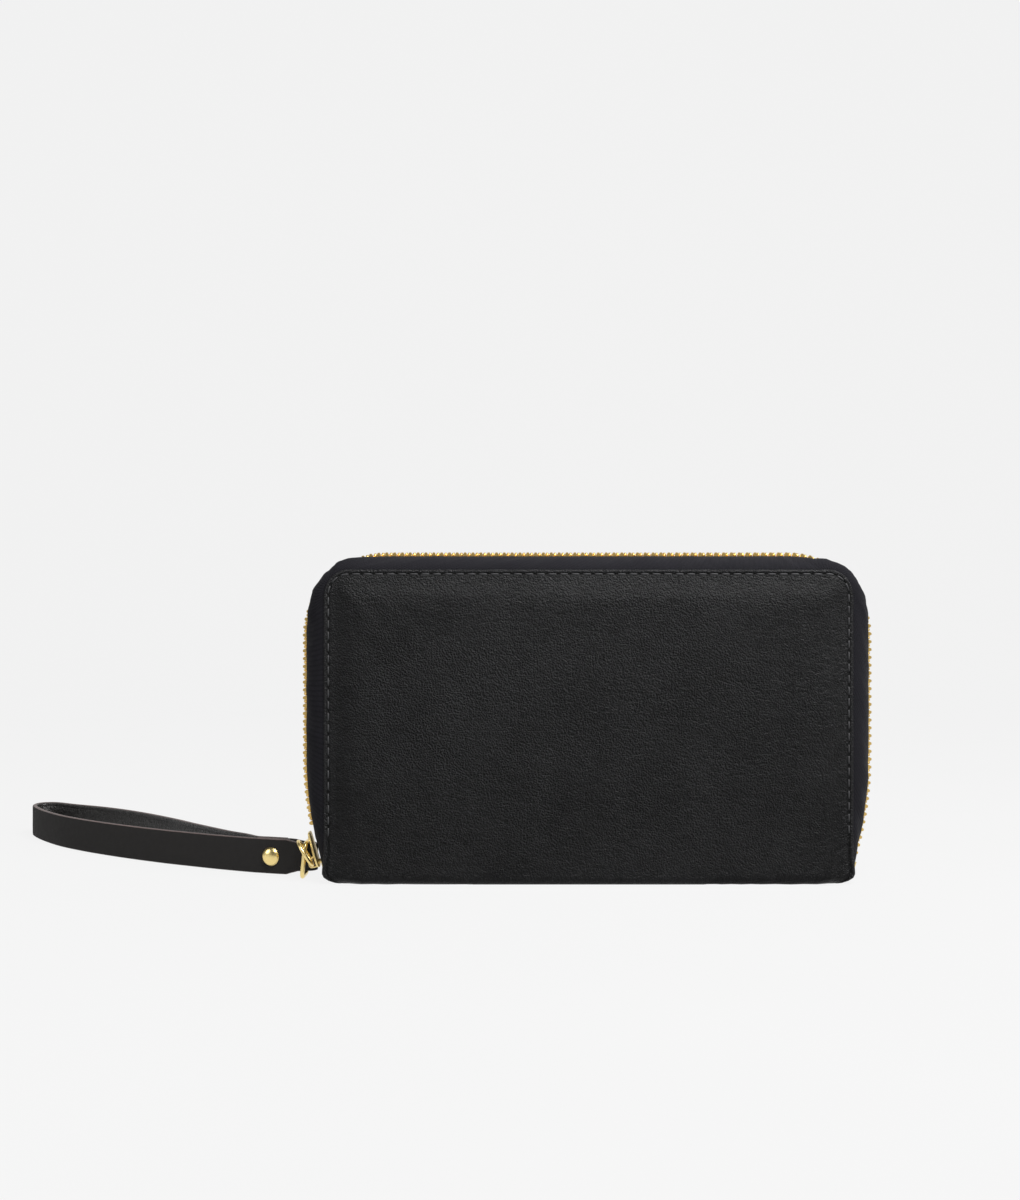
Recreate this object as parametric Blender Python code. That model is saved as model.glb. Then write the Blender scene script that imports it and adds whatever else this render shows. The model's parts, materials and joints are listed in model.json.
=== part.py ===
"""A zip-around wristlet wallet, standing closed on its spine with the wrist strap beside it.

Frame: origin under the middle of the spine, +X to the right, +Y to the back, +Z up.
Two stiffened leather covers fold on a narrow spine. A metal zip runs up the left side, over the
top and down the right side. Its slider is parked at the bottom left, and carries the strap on
two rings. Inside are a slip pocket, six card slots, pleated gussets and a zipped coin pocket.
"""

import math

import bmesh
import bpy
from mathutils import Matrix, Vector

MM = 0.001
GAP = 0.3 * MM

# Driving dimensions of the wallet.
HALF_WIDTH = 91.75 * MM
HEIGHT = 109 * MM
HALF_DEPTH = 13 * MM
TOP_CORNER = 8.5 * MM
FOOT_CORNER = 5 * MM
FOOT = 0.5 * MM
LEATHER = 1.2 * MM

# The zip's chain line, in the plane between the covers.
CHAIN_HALF_WIDTH = 98.9 * MM
CHAIN_HEIGHT = 113.9 * MM
CHAIN_CORNER = 28 * MM
CHAIN_FOOT = 4 * MM
BEND_RADIUS = 120 * MM
BEND_TOP = 43 * MM

# Zip tape and teeth.
TAPE = 0.5 * MM
TAPE_FLANGE = 5 * MM
TAPE_FLAT = 4.7 * MM
TAPE_EDGE = 2.9 * MM
TAPE_DEPTH = 11.25 * MM
PITCH = 2.76 * MM
TOOTH_RUN = 1.05 * MM
TOOTH_ROOT = 1.9 * MM
RIB_EDGE = 2.6 * MM
TOOTH_TIP = 0.45 * MM
TOOTH_HALF_HEIGHT = 1.1 * MM

# The slider, parked on the bend at the bottom left.
SLIDER_HEIGHT = 10.8 * MM
SLIDER_HALF_LENGTH = 6.5 * MM
CHANNEL = 1.5 * MM
PLATE = 0.9 * MM

# The covers fold about these lines, at the front and the back of the spine.
FOLD_Y = 12.4 * MM
FOLD_Z = 1.4 * MM

# The wrist strap.
STRAP_WIDTH = 12.5 * MM
STRAP_THICKNESS = 1.8 * MM
STRAP_FLOOR = 0.1 * MM
STRAP_ANGLE = math.radians(160)
FOLD_CENTRE = Vector((-98.9, 7.0)) * MM
FOLD_HALF_GAP = 2.2 * MM
LAYER_STEP = 2.1 * MM
NECK_WIDTH = 9.8 * MM
RIVET_RUN = 14 * MM

# Rings between the slider and the strap.
JUMP_RADIUS = 4.83 * MM
JUMP_WIRE = 0.6 * MM
D_WIRE = 0.75 * MM
D_HEIGHT = 13.4 * MM
D_DEPTH = 11.0 * MM
D_LEAN = 0.105

# The coin pocket in the middle.
POCKET_HALF_WIDTH = 70 * MM
POCKET_TOP = 90 * MM
POCKET_Y = -0.6 * MM


def clear_scene():
    for obj in list(bpy.data.objects):
        bpy.data.objects.remove(obj, do_unlink=True)


def material(name, colour, roughness, metallic=0.0):
    made = bpy.data.materials.new(name)
    made.use_nodes = True
    shader = made.node_tree.nodes["Principled BSDF"]
    shader.inputs["Base Color"].default_value = (*colour, 1.0)
    shader.inputs["Roughness"].default_value = roughness
    shader.inputs["Metallic"].default_value = metallic
    return made


def pivot(name, place, parent=None):
    """An empty on a joint's axis, which its moving pieces are parented to."""
    made = bpy.data.objects.new(name, None)
    bpy.context.scene.collection.objects.link(made)
    made.location = place
    if parent:
        made.parent = parent
        made.matrix_parent_inverse = parent.matrix_world.inverted()
    bpy.context.view_layer.update()
    return made


def add(name, mesh_edit, finish, parent=None, smooth=False):
    """Turns a bmesh into a named object that hangs on its pivot."""
    bmesh.ops.recalc_face_normals(mesh_edit, faces=mesh_edit.faces)
    mesh = bpy.data.meshes.new(name)
    mesh_edit.to_mesh(mesh)
    mesh_edit.free()
    mesh.materials.append(finish)
    if smooth:
        mesh.shade_smooth()
        mesh.set_sharp_from_angle(angle=math.radians(40))
    made = bpy.data.objects.new(name, mesh)
    bpy.context.scene.collection.objects.link(made)
    if parent:
        made.parent = parent
        made.matrix_parent_inverse = parent.matrix_world.inverted()
    return made


def soften(obj, width, segments=2):
    modifier = obj.modifiers.new("edge", "BEVEL")
    modifier.width = width
    modifier.segments = segments
    modifier.limit_method = "ANGLE"
    modifier.angle_limit = math.radians(50)


def combine(obj, helper, operation):
    """Joins a helper to an object, or cuts it out, and hides the helper."""
    helper.hide_render = True
    helper.display_type = "WIRE"
    modifier = obj.modifiers.new(helper.name, "BOOLEAN")
    modifier.object = helper
    modifier.operation = operation


def prism(corners, extrusion):
    """A closed prism: the flat outline swept along one vector."""
    made = bmesh.new()
    near = [made.verts.new(corner) for corner in corners]
    far = [made.verts.new(Vector(corner) + extrusion) for corner in corners]
    made.faces.new(near)
    made.faces.new(reversed(far))
    for i, vert in enumerate(near):
        j = (i + 1) % len(near)
        made.faces.new((near[j], vert, far[i], far[j]))
    return made


def box(low, high):
    corners = [(low[0], low[1]), (high[0], low[1]), (high[0], high[1]), (low[0], high[1])]
    return prism([Vector((x, y, low[2])) for x, y in corners], Vector((0, 0, high[2] - low[2])))


def arc(centre, radius, start, end, steps):
    """Points of an arc in a plane, from one angle to another in degrees."""
    angles = [math.radians(start + (end - start) * i / steps) for i in range(steps + 1)]
    return [centre + radius * Vector((math.cos(a), math.sin(a))) for a in angles]


def rounded_outline(half_width, low, high, top_corner, foot_corner, steps=5):
    """A rectangle with round corners, as points (x, z)."""
    points = []
    for side, top, start in ((1, 0, -90), (1, 1, 0), (-1, 1, 90), (-1, 0, 180)):
        radius = top_corner if top else foot_corner
        z = high - radius if top else low + radius
        centre = Vector((side * (half_width - radius), z))
        points += arc(centre, radius, start, start + 90, steps)
    return points


def panel(name, outline, y_near, y_far, finish, parent, edge=0.0):
    """A flat sheet that stands across Y, with a soft edge if one is given."""
    corners = [Vector((x, y_near, z)) for x, z in outline]
    made = add(name, prism(corners, Vector((0, y_far - y_near, 0))), finish, parent)
    if edge:
        soften(made, edge)
    return made


def ring_of(stations, closed):
    """Bridges loops of equal length into a tube, capped unless it closes on itself."""
    made = bmesh.new()
    loops = [[made.verts.new(point) for point in station] for station in stations]
    pairs = list(zip(loops, loops[1:]))
    if closed:
        pairs.append((loops[-1], loops[0]))
    else:
        made.faces.new(loops[0])
        made.faces.new(reversed(loops[-1]))
    for one, two in pairs:
        for i in range(len(one)):
            j = (i + 1) % len(one)
            made.faces.new((one[i], two[i], two[j], one[j]))
    return made


def plan_normals(path):
    """The left-hand normal at each point of a path in plan."""
    normals = []
    for i in range(len(path)):
        along = path[min(i + 1, len(path) - 1)] - path[max(i - 1, 0)]
        normals.append(Vector((-along.y, along.x)).normalized())
    return normals


def ribbon(path, thickness, edges):
    """A strip that stands on edge along a path in plan. edges gives its low and high side."""
    stations = []
    for i, (point, normal) in enumerate(zip(path, plan_normals(path))):
        low, high = edges(i)
        out, back = point + normal * thickness / 2, point - normal * thickness / 2
        stations.append(
            [(*out, low), (*out, high), (*back, high), (*back, low)]
        )
    return ring_of(stations, closed=False)


def wire(points, radius, sides=8, closed=True):
    """A round wire along points, with its section kept square to the path."""
    stations = []
    count = len(points)
    for i, point in enumerate(points):
        ahead = points[(i + 1) % count] if closed else points[min(i + 1, count - 1)]
        behind = points[i - 1] if closed or i else points[0]
        along = (ahead - behind).normalized()
        if i == 0:
            across = along.orthogonal().normalized()
        else:
            across = (across - along * across.dot(along)).normalized()
        up = along.cross(across)
        turns = [2 * math.pi * k / sides for k in range(sides)]
        stations.append([point + radius * (math.cos(a) * across + math.sin(a) * up) for a in turns])
    return ring_of(stations, closed)


def smooth_curve(points, spacing):
    """Points a set distance apart on a smooth curve through the route's own points."""
    dense = [points[0]]
    for i in range(len(points) - 1):
        before = points[max(i - 1, 0)]
        after = points[min(i + 2, len(points) - 1)]
        start, end = points[i], points[i + 1]
        steps = max(2, round((end - start).length / spacing))
        for k in range(1, steps + 1):
            t = k / steps
            bent = 2 * start + (end - before) * t
            bent += (2 * before - 5 * start + 4 * end - after) * t**2
            bent += (3 * start - before - 3 * end + after) * t**3
            dense.append(bent / 2)
    return dense


# The zip's line and the covers' edge, walked together from the foot of the left side.


def chain_side(height):
    """The chain's distance from the middle at a height on a side, and its slope."""
    below = max(BEND_TOP - height, 0)
    slope = math.asin(below / BEND_RADIUS)
    return CHAIN_HALF_WIDTH - BEND_RADIUS * (1 - math.cos(slope)), slope


def side_heights(foot, top, steps):
    return [foot + (top - foot) * i / steps for i in range(steps + 1)]


def chain_line(side_steps=9, corner_steps=7):
    """Points (x, z) of the chain line and their outward normals."""
    right = []
    for height in side_heights(CHAIN_FOOT, CHAIN_HEIGHT - CHAIN_CORNER, side_steps):
        x, slope = chain_side(height)
        right.append((Vector((x, height)), Vector((math.cos(slope), -math.sin(slope)))))
    centre = Vector((CHAIN_HALF_WIDTH - CHAIN_CORNER, CHAIN_HEIGHT - CHAIN_CORNER))
    for point in arc(centre, CHAIN_CORNER, 0, 90, corner_steps)[1:]:
        right.append((point, (point - centre).normalized()))
    return mirrored_walk(right)


def edge_line(inset, side_steps=9, corner_steps=7):
    """The covers' edge, drawn in by an inset, with as many points as the chain line."""
    right = []
    for height in side_heights(CHAIN_FOOT, HEIGHT - TOP_CORNER, side_steps):
        right.append((Vector((HALF_WIDTH - inset, height)), Vector((1, 0))))
    centre = Vector((HALF_WIDTH - TOP_CORNER, HEIGHT - TOP_CORNER))
    for point in arc(centre, TOP_CORNER - inset, 0, 90, corner_steps)[1:]:
        right.append((point, (point - centre).normalized()))
    return mirrored_walk(right)


def mirrored_walk(right):
    """The right half of a line, walked from the foot of the left side to the right foot."""
    left = [(Vector((-p.x, p.y)), Vector((-n.x, n.y))) for p, n in right]
    return left + right[::-1]


def zip_tape(name, side, finish, parent):
    """The band that joins a cover's edge to its row of teeth. side is -1 at the front."""
    bulge = [math.radians(15 * k) for k in range(1, 7)]
    stations = []
    seam, root = edge_line(TAPE_FLANGE), edge_line(1.0 * MM)
    for (inner, _), (edge, outward), (chain, normal) in zip(seam, root, chain_line()):
        profile = [(inner, TAPE_DEPTH, 0.0, outward), (edge, TAPE_DEPTH, 0.0, outward)]
        for turn in bulge:
            depth = TAPE_DEPTH - (TAPE_DEPTH - TAPE_FLAT) * (1 - math.cos(turn))
            place = edge.lerp(chain, math.sin(turn))
            profile.append((place, depth, turn, outward.lerp(normal, math.sin(turn))))
        profile.append((chain, TAPE_EDGE, math.pi / 2, normal))
        faces = ([], [])
        for place, depth, turn, out in profile:
            out = out.normalized()
            lean = Vector((math.sin(turn) * out.x, side * math.cos(turn), math.sin(turn) * out.y))
            middle = Vector((place.x, side * depth, place.y))
            faces[0].append(middle + lean * TAPE / 2)
            faces[1].append(middle - lean * TAPE / 2)
        stations.append(faces[0] + faces[1][::-1])
    return add(name, ring_of(stations, closed=False), finish, parent)


class Chain:
    """The chain line by length, measured from the foot of the left side."""

    def __init__(self):
        self.points = [p for p, _ in chain_line(60, 24)]
        self.lengths = [0.0]
        for one, two in zip(self.points, self.points[1:]):
            self.lengths.append(self.lengths[-1] + (two - one).length)

    def at(self, length):
        """The point at a length, its direction and its outward normal, as (x, z)."""
        i = max(k for k, run in enumerate(self.lengths[:-1]) if run <= length or k == 0)
        one, two = self.points[i], self.points[i + 1]
        along = (two - one).normalized()
        return one + along * (length - self.lengths[i]), along, Vector((-along.y, along.x))

    def length_at_left(self, height):
        """The length at which the chain line first reaches a height."""
        return next(run for p, run in zip(self.points, self.lengths) if p.y >= height)


def tooth_row(name, side, chain, first, count, finish, parent):
    """One row of teeth on its rib: a comb that reaches across the middle plane."""
    made = bmesh.new()
    start = first + (PITCH / 2 if side > 0 else 0.0)

    def column(length):
        point, _, normal = chain.at(length)
        out, back = point + normal * TOOTH_HALF_HEIGHT, point - normal * TOOTH_HALF_HEIGHT
        depths = (side * RIB_EDGE, side * TOOTH_ROOT, -side * TOOTH_TIP)
        return [[made.verts.new((p.x, y, p.y)) for p in (out, back)] for y in depths]

    columns = []
    for i in range(count):
        columns += [column(start + i * PITCH), column(start + i * PITCH + TOOTH_RUN)]

    def wall(one, two):
        made.faces.new((one[0], one[1], two[1], two[0]))

    def slab(one, two, near, far):
        for level in (0, 1):
            made.faces.new((one[near][level], one[far][level], two[far][level], two[near][level]))

    for i, (one, two) in enumerate(zip(columns, columns[1:])):
        slab(one, two, 0, 1)
        wall(one[0], two[0])
        if i % 2:
            wall(one[1], two[1])
        else:
            slab(one, two, 1, 2)
            wall(one[2], two[2])
            wall(one[1], one[2])
            wall(two[1], two[2])
    wall(columns[0][0], columns[0][1])
    wall(columns[-1][0], columns[-1][1])
    return add(name, made, finish, parent)


def stand_on_chain(point, along, normal):
    """The matrix that takes (outward, Y, along the chain) to the wallet's frame."""
    rows = Matrix(((normal.x, 0, along.x), (0, 1, 0), (normal.y, 0, along.y))).to_4x4()
    return Matrix.Translation((point.x, 0, point.y)) @ rows


def moved(mesh_edit, matrix):
    bmesh.ops.transform(mesh_edit, matrix=matrix, verts=mesh_edit.verts)
    return mesh_edit


def slider_outline():
    """The slider's plate, wide at the nose that leads down the zip and narrow at the tail."""
    half = [(0, -1), (2.4, -0.95), (4.1, -0.77), (4.5, -0.43), (4.1, 0), (3.4, 0.5), (3.1, 0.83)]
    half.append((2.4, 1))
    right = [(y * MM, z * SLIDER_HALF_LENGTH) for y, z in half]
    return right + [(-y, z) for y, z in right[:0:-1]]


def slider(chain, finish, parent):
    """Two plates on a post, with the bail that holds the jump ring."""
    point, along, normal = chain.at(chain.length_at_left(SLIDER_HEIGHT))
    place = stand_on_chain(point, along, normal)
    rim = slider_outline()
    top = prism([Vector((CHANNEL, y, z)) for y, z in rim], Vector((PLATE, 0, 0)))
    body = add("slider_body", moved(top, place), finish, parent)
    low = prism([Vector((-CHANNEL - PLATE, y, z)) for y, z in rim], Vector((PLATE, 0, 0)))
    combine(body, add("slider_low_plate", moved(low, place), finish, parent), "UNION")
    reach = CHANNEL + PLATE / 2
    post = box((-reach, -0.7 * MM, -5.4 * MM), (reach, 0.7 * MM, -3.6 * MM))
    combine(body, add("slider_post", moved(post, place), finish, parent), "UNION")
    face = CHANNEL + PLATE
    foot = face - PLATE / 2
    crown, under = face + 2.9 * MM, face + 2.35 * MM
    shape = [(foot, -6.2), (crown, -5.9), (crown, -3.3), (foot, -2.0)]
    shape += [(foot, -2.6), (under, -3.5), (under, -5.4), (foot, -5.6)]
    corners = [Vector((n, -0.5 * MM, t * MM)) for n, t in shape]
    bail = prism(corners, Vector((0, 1.0 * MM, 0)))
    combine(body, add("slider_arch", moved(bail, place), finish, parent), "UNION")
    return place


def jump_ring(eye, finish, parent):
    """A round ring, through the bail at its lower right and round the D-ring at its left."""
    major = Vector((0.444, 0.427, -0.788)).normalized()
    minor = Vector((0.279, -0.901, -0.331)).normalized()
    centre = eye - JUMP_RADIUS * major
    turns = [2 * math.pi * k / 24 for k in range(24)]
    points = [centre + JUMP_RADIUS * (math.cos(a) * major + math.sin(a) * minor) for a in turns]
    return add("jump_ring", wire(points, JUMP_WIRE), finish, parent, smooth=True)


def d_ring(bar, finish, parent):
    """A D-ring on edge: its straight bar is in the strap's fold, its bow in the jump ring."""
    reach = Vector((-0.03, -1.0, 0)).normalized()
    rise = Vector((D_LEAN, 0, 1)).normalized()
    half = D_HEIGHT / 2 - D_WIRE
    corner = 2.2 * MM
    depth = D_DEPTH - D_WIRE
    outline = []
    for sign_u, sign_v, start in ((1, -1, -90), (1, 1, 0), (-1, 1, 90), (-1, -1, 180)):
        radius = corner if sign_u > 0 else 1.2 * MM
        middle = Vector((depth - radius if sign_u > 0 else radius, sign_v * (half - radius)))
        outline += arc(middle, radius, start, start + 90, 4)
    middle = D_HEIGHT / 2 + STRAP_FLOOR
    points = [Vector((*bar, middle)) + reach * u + rise * v for u, v in outline]
    return add("d_ring", wire(points, D_WIRE), finish, parent, smooth=True)


# The strap's route in plan once its two runs part, from the near run round the bight to the far run.
LOOP_ROUTE = (
    (-131.0, 18.0),
    (-144.0, 25.6),
    (-159.2, 34.8),
    (-175.5, 46.4),
    (-191.5, 59.4),
    (-204.5, 72.2),
    (-214.0, 84.6),
    (-221.5, 96.4),
    (-226.4, 106.8),
    (-226.0, 113.8),
    (-219.8, 115.4),
    (-209.5, 108.6),
    (-197.5, 101.3),
    (-186.9, 92.9),
    (-177.0, 83.6),
    (-168.0, 74.3),
    (-158.3, 63.0),
    (-149.0, 51.0),
    (-139.8, 40.0),
    (-131.3, 30.0),
    (-123.8, 22.6),
)


def strap_axes():
    along = Vector((math.cos(STRAP_ANGLE), math.sin(STRAP_ANGLE)))
    return along, Vector((along.y, -along.x))


def ease(share):
    share = min(max(share, 0.0), 1.0)
    return share * share * (3 - 2 * share)


def strap_path():
    """The strip from its tail, round the ring's bar, out round the wrist loop and back."""
    along, away = strap_axes()

    def at(run, offset):
        return FOLD_CENTRE + along * run + away * offset

    tail = []
    for run in (21, 18, 15, 12, 10, 8, 6, 4, 2, 1):
        tail.append(at(run * MM, FOLD_HALF_GAP * (1 - ease((run - 1) / 11))))
    fold = []
    for turn in range(75, -91, -15):
        bend = math.radians(turn)
        fold.append(at(-FOLD_HALF_GAP * math.cos(bend), FOLD_HALF_GAP * math.sin(bend)))
    near = [at(run * MM, -LAYER_STEP) for run in (4, 8, 12, 15, 18)]
    route = [at(21 * MM, -LAYER_STEP)] + [Vector(p) * MM for p in LOOP_ROUTE]
    route += [at(run * MM, LAYER_STEP) for run in (22, 18)]
    loop = smooth_curve(route, 5 * MM)
    far = [at(run * MM, LAYER_STEP) for run in (15, 12, 10)]
    return tail + fold + near + loop + far


def strap(finish, brass, parent):
    """The wrist strap in one strip, and the rivet through its three layers."""
    path = strap_path()
    along, away = strap_axes()
    centre = STRAP_FLOOR + STRAP_WIDTH / 2

    def edges(i):
        run = (path[i] - FOLD_CENTRE).dot(along)
        half = NECK_WIDTH / 2 + (STRAP_WIDTH - NECK_WIDTH) / 2 * ease((run - 2 * MM) / (6 * MM))
        lift = 0.45 * MM * (1 - ease((run - 2 * MM) / (8 * MM)))
        return centre - half + lift, centre + half + lift

    body = add("wrist_strap", ribbon(path, STRAP_THICKNESS, edges), finish, parent)
    middle = FOLD_CENTRE + along * RIVET_RUN
    axis = Vector((*away, 0))
    hub = Vector((*middle, centre))
    reach = LAYER_STEP + STRAP_THICKNESS / 2
    hole = turned(hub, axis, [(-reach - 1 * MM, 1.8 * MM), (reach + 1 * MM, 1.8 * MM)])
    combine(body, add("rivet_hole", hole, finish, parent), "DIFFERENCE")
    face = -reach - GAP
    dome = [(face - 1.3 * MM, 0.9 * MM), (face - 1.1 * MM, 2.0 * MM), (face - 0.6 * MM, 2.9 * MM)]
    cap = dome + [(face, 3.25 * MM), (face + 0.05 * MM, 1.5 * MM), (reach - 0.4 * MM, 1.5 * MM)]
    add("rivet_cap", turned(hub, axis, cap), brass, parent, smooth=True)
    back = reach + GAP
    base = [(back, 3.0 * MM), (back + 0.4 * MM, 2.8 * MM), (back + 0.8 * MM, 2.0 * MM)]
    add("rivet_base", turned(hub, axis, base), brass, parent, smooth=True)


def turned(hub, axis, profile, sides=20):
    """A solid turned about an axis through hub, from pairs (distance along it, radius)."""
    across = axis.orthogonal().normalized()
    up = axis.cross(across).normalized()
    stations = []
    for run, radius in profile:
        turns = [2 * math.pi * k / sides for k in range(sides)]
        ring = [radius * (math.cos(a) * across + math.sin(a) * up) for a in turns]
        stations.append([hub + axis * run + arm for arm in ring])
    return ring_of(stations, closed=False)


def gusset(name, side, end, wall, finish):
    """A pleated fan between the coin pocket and a cover: four leaves and three folds."""
    root, inner, outer, step = 71 * MM, 73.4 * MM, 85 * MM, 1.4 * MM
    path = [Vector((root, 0))]
    for leaf in range(3):
        turn_x, start = (outer, -90) if leaf % 2 == 0 else (inner, -90)
        centre = Vector((turn_x, (leaf + 0.5) * step))
        sweep = 180 if leaf % 2 == 0 else -180
        path += arc(centre, step / 2, start, start + sweep, 4)
    path.append(Vector((78 * MM, 3 * step)))
    placed = [Vector((end * p.x, wall + side * p.y)) for p in path]
    return add(name, ribbon(placed, 0.5 * MM, lambda i: (5 * MM, 86 * MM)), finish)


def cover(side, name, finishes, parent):
    """The layers of one cover, from its leather inwards."""
    outline = rounded_outline(HALF_WIDTH, FOOT, HEIGHT, TOP_CORNER, FOOT_CORNER)
    outer, inner = HALF_DEPTH, HALF_DEPTH - LEATHER
    leather = finishes["leather"]
    panel(name + "_leather", outline, side * outer, side * inner, leather, parent, 0.5 * MM)
    inset = rounded_outline(HALF_WIDTH - 6.2 * MM, 6 * MM, HEIGHT - 6.2 * MM, 3 * MM, 3 * MM, 3)
    panel(name + "_foam", inset, side * 11.5 * MM, side * 10.7 * MM, finishes["foam"], parent)
    panel(name + "_board", inset, side * 10.4 * MM, side * 9.6 * MM, finishes["board"], parent)
    lined = rounded_outline(HALF_WIDTH - 2.2 * MM, 4 * MM, HEIGHT - 2.2 * MM, 6 * MM, 2 * MM)
    panel(name + "_lining", lined, side * 9.3 * MM, side * 8.8 * MM, finishes["lining"], parent)


def card_slots(finishes, parent):
    """Three stepped slots in each of two columns, on the back cover."""
    for column, left in (("left", -88.5 * MM), ("right", 0.4 * MM)):
        for level in range(3):
            deep = 8.5 * MM - level * 0.7 * MM
            top = (84 - 12 * level) * MM
            low, high = (left, deep - 0.4 * MM, 7 * MM), (left + 88.1 * MM, deep, top)
            slot = box(low, high)
            add(f"card_slot_{column}_{level + 1}", slot, finishes["lining_leather"], parent)


def coin_pocket(finishes):
    """Two walls, the pocket's own zip along the top, and its end stops."""
    wide, low = POCKET_HALF_WIDTH, 6 * MM
    front, back = POCKET_Y - 1.6 * MM, POCKET_Y + 1.1 * MM
    wall = box((-wide, front, low), (wide, front + 0.5 * MM, POCKET_TOP))
    add("coin_pocket_front", wall, finishes["lining_leather"])
    wall = box((-wide, back, low), (wide, back + 0.5 * MM, POCKET_TOP))
    add("coin_pocket_back", wall, finishes["lining_leather"])
    for name, y in (("front", POCKET_Y - 0.75 * MM), ("back", POCKET_Y + 0.4 * MM)):
        tape = box((-66 * MM, y, 80 * MM), (66 * MM, y + 0.35 * MM, 92.2 * MM))
        add("coin_zip_tape_" + name, tape, finishes["tape"])
    teeth = box((-62 * MM, POCKET_Y - 1.1 * MM, 92.5 * MM), (62 * MM, POCKET_Y + 1.1 * MM, 94 * MM))
    add("coin_zip_teeth", teeth, finishes["brass"])
    for name, x in (("left", -65 * MM), ("right", 62.6 * MM)):
        stop = box((x, POCKET_Y - 1.3 * MM, 92.5 * MM), (x + 2.4 * MM, POCKET_Y + 1.3 * MM, 94.2 * MM))
        add("coin_zip_stop_" + name, stop, finishes["brass"])


COIN_SLIDER_X = -58.7 * MM
COIN_PULL_Z = 95.8 * MM


def coin_slider(finishes, parent, pull_parent):
    """The coin zip's slider, an open channel over its teeth, and its pull tab."""
    half, wall = 1.5 * MM, 0.6 * MM
    low, inside, top = 92.4 * MM, 94.5 * MM, 95.2 * MM
    shape = [(half + wall, low), (half + wall, top), (-half - wall, top), (-half - wall, low)]
    shape += [(-half, low), (-half, inside), (half, inside), (half, low)]
    start = COIN_SLIDER_X - 3.5 * MM
    corners = [Vector((start, POCKET_Y + y, z)) for y, z in shape]
    body = add("coin_slider_body", prism(corners, Vector((7 * MM, 0, 0))), finishes["brass"], parent)
    x = COIN_SLIDER_X
    arch = [(x - 1.9 * MM, top - 0.3 * MM), (x - 1.4 * MM, top + 2.4 * MM)]
    arch += [(x + 1.4 * MM, top + 2.4 * MM), (x + 1.9 * MM, top - 0.3 * MM)]
    arch += [(x + 1.2 * MM, top - 0.3 * MM), (x + 0.9 * MM, top + 1.9 * MM)]
    arch += [(x - 0.9 * MM, top + 1.9 * MM), (x - 1.2 * MM, top - 0.3 * MM)]
    corners = [Vector((px, POCKET_Y - 0.5 * MM, pz)) for px, pz in arch]
    bail = add("coin_bail", prism(corners, Vector((0, 1.0 * MM, 0))), finishes["brass"], parent)
    combine(body, bail, "UNION")
    low_z, high_z = COIN_PULL_Z - 0.3 * MM, COIN_PULL_Z + 0.3 * MM
    edge = [(-0.6, -1.2), (0.4, -2.0), (9, -1.6), (10, -0.8), (10, 0.8), (9, 1.6), (0.4, 2.0), (-0.6, 1.2)]
    corners = [Vector((x + px * MM, POCKET_Y + py * MM, low_z)) for px, py in edge]
    pull = add("coin_pull", prism(corners, Vector((0, 0, high_z - low_z))), finishes["brass"], pull_parent)
    eye = box((x - 0.3 * MM, POCKET_Y - 0.85 * MM, low_z - 1 * MM), (x + 3 * MM, POCKET_Y + 0.85 * MM, high_z + 1 * MM))
    combine(pull, add("coin_pull_eye", eye, finishes["brass"], pull_parent), "DIFFERENCE")


def zip_stops(chain, finishes, front, back):
    """Clips that pinch the tapes' ends: one under the slider, and a pair at the right foot."""
    arm, slot = 1.1 * MM, 0.55 * MM
    foot = chain.lengths[-1] - 1.6 * MM
    clips = (
        ("zip_top_stop", 1, back, 0.9 * MM, 0.7 * MM),
        ("zip_bottom_stop_front", -1, front, foot, 1.3 * MM),
        ("zip_bottom_stop_back", 1, back, foot, 1.3 * MM),
    )
    for name, side, parent, length, half in clips:
        shape = [(-arm, 0.2), (arm, 0.2), (arm, 4.3), (slot, 4.3), (slot, 2.6), (-slot, 2.6)]
        shape += [(-slot, 4.3), (-arm, 4.3)]
        corners = [Vector((n, side * y * MM, -half)) for n, y in shape]
        clip = moved(prism(corners, Vector((0, 0, 2 * half))), stand_on_chain(*chain.at(length)))
        add(name, clip, finishes["brass"], parent)


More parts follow.
